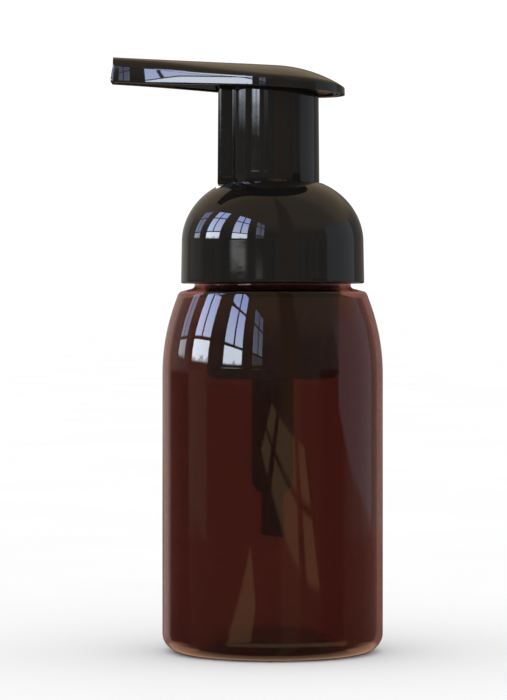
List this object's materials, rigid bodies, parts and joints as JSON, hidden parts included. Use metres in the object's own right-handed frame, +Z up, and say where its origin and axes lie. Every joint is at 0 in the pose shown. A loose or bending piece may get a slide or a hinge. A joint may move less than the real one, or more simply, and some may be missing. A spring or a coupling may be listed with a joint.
{
  "type": "foam soap pump dispenser",
  "caption": "Round transparent bottle with a domed screw collar and a press-down paddle head whose long spout dispenses foam.",
  "frame": {"origin": "centre of the bottle's flat base, on its axis, where it stands", "axes": "+Z up along the bottle's axis, -X towards the spout's tip, +Y across the paddle"},
  "size_m": [0.0702, 0.057, 0.1533],
  "materials": {
    "amber_pet": "clear glossy amber PET",
    "black_gloss": "glossy black injection-moulded plastic",
    "black_satin": "satin black plastic",
    "white_plastic": "natural white plastic",
    "soft_seal": "soft translucent elastomer",
    "steel": "bright stainless steel"
  },
  "bodies": {
    "bottle": {"bottle": "amber_pet"},
    "pump": {"pump_housing": "black_satin", "neck_gasket": "soft_seal", "stem_guide": "white_plastic", "dip_tube": "black_satin", "return_spring": "steel"},
    "inlet_ball": {"inlet_ball": "steel"},
    "collar": {"collar": "black_gloss"},
    "head": {"head_paddle": "black_gloss", "head_sleeve": "black_gloss", "spout_duct": "black_gloss", "mesh_sleeve": "white_plastic", "lower_mesh": "white_plastic", "upper_mesh": "white_plastic", "mixing_ring": "white_plastic", "liquid_stem": "white_plastic", "liquid_piston": "soft_seal", "air_piston": "white_plastic", "air_valve": "soft_seal"},
    "outlet_ball": {"outlet_ball": "steel"}
  },
  "joints": [
    {"name": "pump_lift", "type": "slide", "parent": "bottle", "child": "pump", "axis": [0, 0, 1], "range_m": [0, 0.0064]},
    {"name": "collar_turn", "type": "hinge", "parent": "pump", "child": "collar", "pos_m": [0, 0, 0.1], "axis": [0, 0, 1], "range_deg": [0, 540]},
    {"name": "head_press", "type": "slide", "parent": "collar", "child": "head", "axis": [0, 0, -1], "range_m": [0, 0.013], "stiffness_N_per_m": 600, "springref_m": -0.01, "deforming": ["return_spring"]},
    {"name": "inlet_ball_lift", "type": "slide", "parent": "pump", "child": "inlet_ball", "axis": [0, 0, 1], "range_m": [0, 0.0018]},
    {"name": "outlet_ball_lift", "type": "slide", "parent": "head", "child": "outlet_ball", "axis": [0, 0, 1], "range_m": [0, 0.0018]}
  ],
  "couplings": [
    {"joint": "pump_lift", "follows": "collar_turn", "m_per_rad": 0.00066845}
  ]
}
